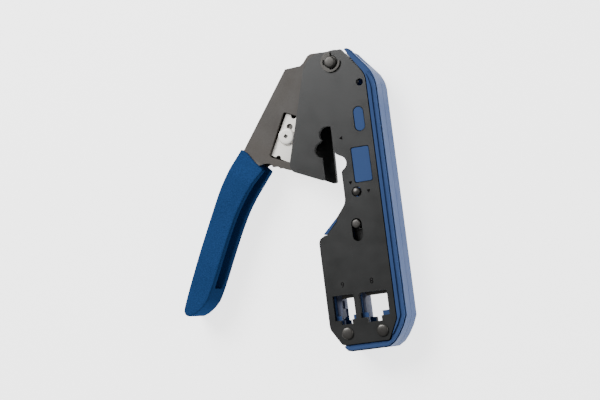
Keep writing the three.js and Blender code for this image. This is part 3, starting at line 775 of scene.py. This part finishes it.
class CRIMP_OT_clip(bpy.types.Operator):
    """Round the edges of the spring clip on the pivot"""

    bl_idname = "crimp.clip"
    bl_label = "Spring Clip"

    def execute(self, context):
        piece = copy_of("pivot_clip", "spring_clip")
        round_edges(piece, sizes().small_edge)
        finish_piece(piece, "body", "clip steel", "grey_steel", "pivot_clip")
        return {"FINISHED"}


class CRIMP_OT_blade(bpy.types.Operator):
    """Finish the cutting blade and turn its clamping screw"""

    bl_idname = "crimp.blade"
    bl_label = "Blade and Screw"

    def execute(self, context):
        blade = copy_of("cutter_blade", "blade_strip")
        round_edges(blade, sizes().small_edge / 2)
        finish_piece(blade, "lever_arm", "blade steel", "blade_steel", "cutter_blade")
        x, y, low, high = middle("blade_screw")
        head, shank = (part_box("blade_screw")[1][0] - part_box("blade_screw")[0][0]) / 2, 1.6 * MM
        profile = (
            (shank, low), (shank, high - 1.5 * MM), (head - 0.4 * MM, high - 1.49 * MM),
            (head, high - 1.1 * MM), (head, high - 0.6 * MM), (head - 0.45 * MM, high - 0.1 * MM),
            (head - 1.0 * MM, high - 0.02 * MM), (0.6 * head, high),
        )
        screw = turned("blade_clamp_screw", x, y, profile, 64)
        bpy.ops.object.select_all(action="DESELECT")
        socket, depth = 1.15 * MM, 0.8 * MM
        bpy.ops.mesh.primitive_cylinder_add(
            vertices=4, radius=socket, depth=2 * depth, location=(x, y, high)
        )
        cutter = context.object
        apply_modifier(screw, "BOOLEAN", operation="DIFFERENCE", object=cutter, solver="EXACT")
        bpy.data.objects.remove(cutter)
        round_edges(screw, sizes().small_edge / 2)
        finish_piece(screw, "lever_arm", "blade steel", "blade_steel", "blade_screw")

        def in_socket(centre, normal):
            near = math.hypot(centre.x - x, centre.y - y) < socket + 0.05 * MM
            return near and 0.1 * MM < high - centre.z < depth + 0.02 * MM

        second_finish(screw, "dark pin", in_socket)
        return {"FINISHED"}


class CRIMP_OT_ram_parts(bpy.types.Operator):
    """Round the push bar, the dies and what else moves along the body"""

    bl_idname = "crimp.ram_parts"
    bl_label = "Push Bar and Dies"

    def execute(self, context):
        pieces = (
            ("push_bar", "push_slide", "black steel", "grey_steel", "ram"),
            ("die_6p", "die_six", "dark pin", "grey_steel", "ram"),
            ("die_8p", "die_eight", "dark pin", "grey_steel", "ram"),
            ("trim_blade", "trim_strip", "dark pin", "blade_steel", "ram"),
            ("plug_nest", "plug_seat", "nest steel", "grey_steel", "body"),
            ("blade_holder", "blade_bed", "dark pin", "grey_steel", "lever_arm"),
            ("lock_pin", "lock_button", "dark pin", "bright_steel", "lock"),
        )
        for node, name, finish, slot, body in pieces:
            piece = copy_of(node, name, joined=False)
            round_edges(piece, sizes().small_edge / 2)
            finish_piece(piece, body, finish, slot, node)
            if node == "plug_nest":
                top, wall = from_pivot(0.0, -LINING_DROP).y, 0.5
                second_finish(piece, "vinyl blue", lambda c, n: c.y < top and abs(n.z) < wall)
        return {"FINISHED"}


class CRIMP_OT_spring(bpy.types.Operator):
    """Smooth the return spring, which the push bar presses onto its post"""

    bl_idname = "crimp.spring"
    bl_label = "Return Spring"

    def execute(self, context):
        piece = copy_of("return_spring", "return_coil", joined=False)
        apply_modifier(piece, "SUBSURF", levels=1, render_levels=1)
        choose(piece)
        bpy.ops.object.shade_smooth()
        finish_piece(piece, "body", "bright steel", "bright_steel", "return_spring")
        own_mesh(piece)
        return {"FINISHED"}


class CRIMP_OT_marks(bpy.types.Operator):
    """Stamp two numerals over the plug windows and an arrow at each working place"""

    bl_idname = "crimp.marks"
    bl_label = "Marks"

    def execute(self, context):
        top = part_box("front_plate")[1][2]
        sunk = 0.02 * MM
        for text, x, y in NUMERALS:
            bpy.ops.object.select_all(action="DESELECT")
            bpy.ops.object.text_add(
                location=(*from_pivot(x, y), top - sunk), rotation=(0, 0, math.pi)
            )
            mark = context.object
            mark.data.body = text
            mark.data.align_x = "CENTER"
            mark.data.align_y = "CENTER"
            mark.data.size = sizes().numeral_size
            mark.data.extrude = 0.035 * MM
            bpy.ops.object.convert(target="MESH")
            bpy.ops.object.transform_apply(location=True, rotation=True, scale=True)
            mark.name = "numeral_" + text
            finish_piece(mark, "body", "mark", "black_steel")
        for name, x, y, turn in ARROWS:
            bpy.ops.object.select_all(action="DESELECT")
            bpy.ops.mesh.primitive_cylinder_add(
                vertices=3, radius=1.0 * MM, depth=0.06 * MM,
                location=(*from_pivot(x, y), top), rotation=(0, 0, math.radians(turn)),
            )
            mark = context.object
            mark.name = name
            bpy.ops.object.transform_apply(location=True, rotation=True, scale=True)
            bpy.ops.object.mode_set(mode="EDIT")
            bpy.ops.mesh.select_mode(type="FACE")
            select_faces(mark, lambda c, n: n.z > LOOKS_UP)
            bpy.ops.mesh.inset(thickness=0.22 * MM)
            bpy.ops.transform.translate(value=(0, 0, -sunk))
            bpy.ops.mesh.select_mode(type="VERT")
            bpy.ops.object.mode_set(mode="OBJECT")
            finish_piece(mark, "body", "mark", "black_steel")
        return {"FINISHED"}


class CRIMP_OT_inner_parts(bpy.types.Operator):
    """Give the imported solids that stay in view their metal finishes"""

    bl_idname = "crimp.inner_parts"
    bl_label = "Inner Parts"

    def execute(self, context):
        for node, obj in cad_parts.items():
            if obj.hide_render:
                continue
            obj.data.materials.clear()
            obj.data.materials.append(material("grey steel" if node == "cam" else "bright steel"))
        return {"FINISHED"}


class CRIMP_OT_stage(bpy.types.Operator):
    """Add the pale floor, the soft studio lights and the camera"""

    bl_idname = "crimp.stage"
    bl_label = "Studio"

    def execute(self, context):
        stage = context.scene.crimp_stage
        bpy.ops.object.select_all(action="DESELECT")
        bpy.ops.mesh.primitive_plane_add(size=stage.floor_size, location=(0, 0, -stage.floor_gap))
        floor = context.object
        floor.name = "studio_floor"
        paint = bpy.data.materials.new("studio floor")
        paint.use_nodes = True
        shader = paint.node_tree.nodes["Principled BSDF"]
        shader.inputs["Base Color"].default_value = stage.floor_colour
        shader.inputs["Roughness"].default_value = 1.0
        shader.inputs["Specular IOR Level"].default_value = 0.0
        shader.inputs["Emission Color"].default_value = (1, 1, 1, 1)
        shader.inputs["Emission Strength"].default_value = stage.floor_glow
        floor.data.materials.append(paint)

        world = bpy.data.worlds.new("studio")
        world.use_nodes = True
        background = world.node_tree.nodes["Background"]
        background.inputs["Color"].default_value = (1, 1, 1, 1)
        background.inputs["Strength"].default_value = stage.ambient
        context.scene.world = world

        for name, place, power in SOFTBOXES:
            light = bpy.data.lights.new(name, "AREA")
            light.shape = "SQUARE"
            light.size = stage.softbox_size
            light.energy = power
            lamp = bpy.data.objects.new(name, light)
            lamp.location = place
            lamp.rotation_euler = (-Vector(place)).to_track_quat("-Z", "Y").to_euler()
            context.scene.collection.objects.link(lamp)

        data = bpy.data.cameras.new("studio_camera")
        data.sensor_width = 36.0
        data.lens = stage.lens
        camera = bpy.data.objects.new("studio_camera", data)
        camera.location = stage.camera_at
        camera.rotation_euler = stage.camera_turn
        context.scene.collection.objects.link(camera)
        context.scene.camera = camera
        return {"FINISHED"}


class CRIMP_PT_panel(bpy.types.Panel):
    """Lists the tool's operators in the sidebar"""

    bl_label = "Crimping Tool"
    bl_idname = "CRIMP_PT_panel"
    bl_space_type = "VIEW_3D"
    bl_region_type = "UI"
    bl_category = "Crimping Tool"

    def draw(self, context):
        layout = self.layout
        scene = context.scene
        for group in (scene.crimp_sizes, scene.crimp_colours, scene.crimp_stage):
            box = layout.box()
            for name in group.__annotations__:
                box.prop(group, name)
        for operator in OPERATORS:
            layout.operator(operator.bl_idname)


OPERATORS = (
    CRIMP_OT_side_plates,
    CRIMP_OT_grip,
    CRIMP_OT_handle,
    CRIMP_OT_lever,
    CRIMP_OT_pins,
    CRIMP_OT_clip,
    CRIMP_OT_blade,
    CRIMP_OT_ram_parts,
    CRIMP_OT_spring,
    CRIMP_OT_marks,
    CRIMP_OT_inner_parts,
    CRIMP_OT_stage,
)
CLASSES = (CrimpSizes, CrimpColours, CrimpStage, *OPERATORS, CRIMP_PT_panel)


def register():
    for cls in CLASSES:
        bpy.utils.register_class(cls)
    bpy.types.Scene.crimp_sizes = PointerProperty(type=CrimpSizes)
    bpy.types.Scene.crimp_colours = PointerProperty(type=CrimpColours)
    bpy.types.Scene.crimp_stage = PointerProperty(type=CrimpStage)


def unregister():
    del bpy.types.Scene.crimp_stage
    del bpy.types.Scene.crimp_colours
    del bpy.types.Scene.crimp_sizes
    for cls in reversed(CLASSES):
        bpy.utils.unregister_class(cls)


def main():
    register()
    for operator in OPERATORS:
        group, name = operator.bl_idname.split(".")
        getattr(getattr(bpy.ops, group), name)()


if __name__ == "__main__":
    main()
